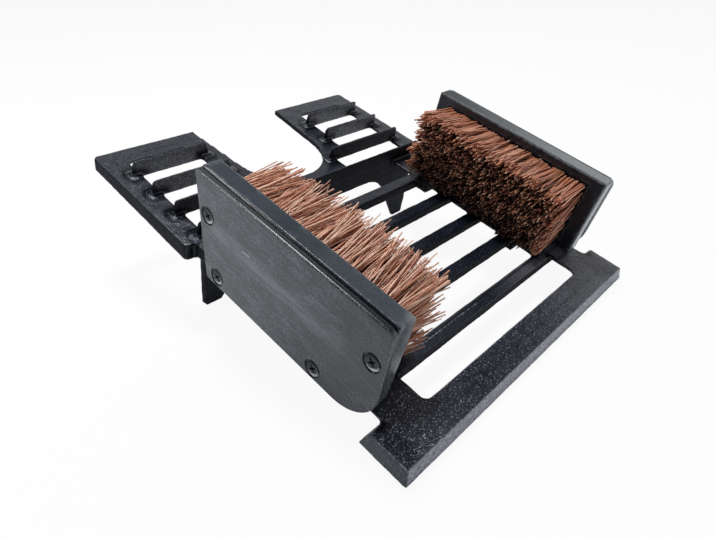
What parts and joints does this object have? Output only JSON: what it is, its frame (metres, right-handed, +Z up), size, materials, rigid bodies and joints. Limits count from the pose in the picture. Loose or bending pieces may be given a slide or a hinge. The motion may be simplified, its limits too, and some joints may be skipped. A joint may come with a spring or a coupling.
{
  "type": "boot scraper",
  "caption": "Cast iron boot scraper with a tilted bar grate, brushes on both sides and a forked boot jack at the rear",
  "frame": {"origin": "centre of the bounding box on the floor it stands on", "axes": "+X to the right seen from the front bar, +Y from the front bar to the boot jack, +Z up"},
  "size_m": [0.2546, 0.2911, 0.115],
  "materials": {
    "casting": "matte",
    "plate": "satin",
    "block": "satin",
    "bristle": "matte",
    "screw": "satin"
  },
  "bodies": {
    "root": {"base_casting": "casting", "left_side_plate": "plate", "right_side_plate": "plate", "left_brush_block": "block", "right_brush_block": "block", "left_bristles": "bristle", "right_bristles": "bristle", "left_front_rail_screw": "screw", "left_rear_rail_screw": "screw", "right_front_rail_screw": "screw", "right_rear_rail_screw": "screw", "left_front_block_screw": "screw", "left_rear_block_screw": "screw", "right_front_block_screw": "screw", "right_rear_block_screw": "screw"}
  },
  "joints": []
}
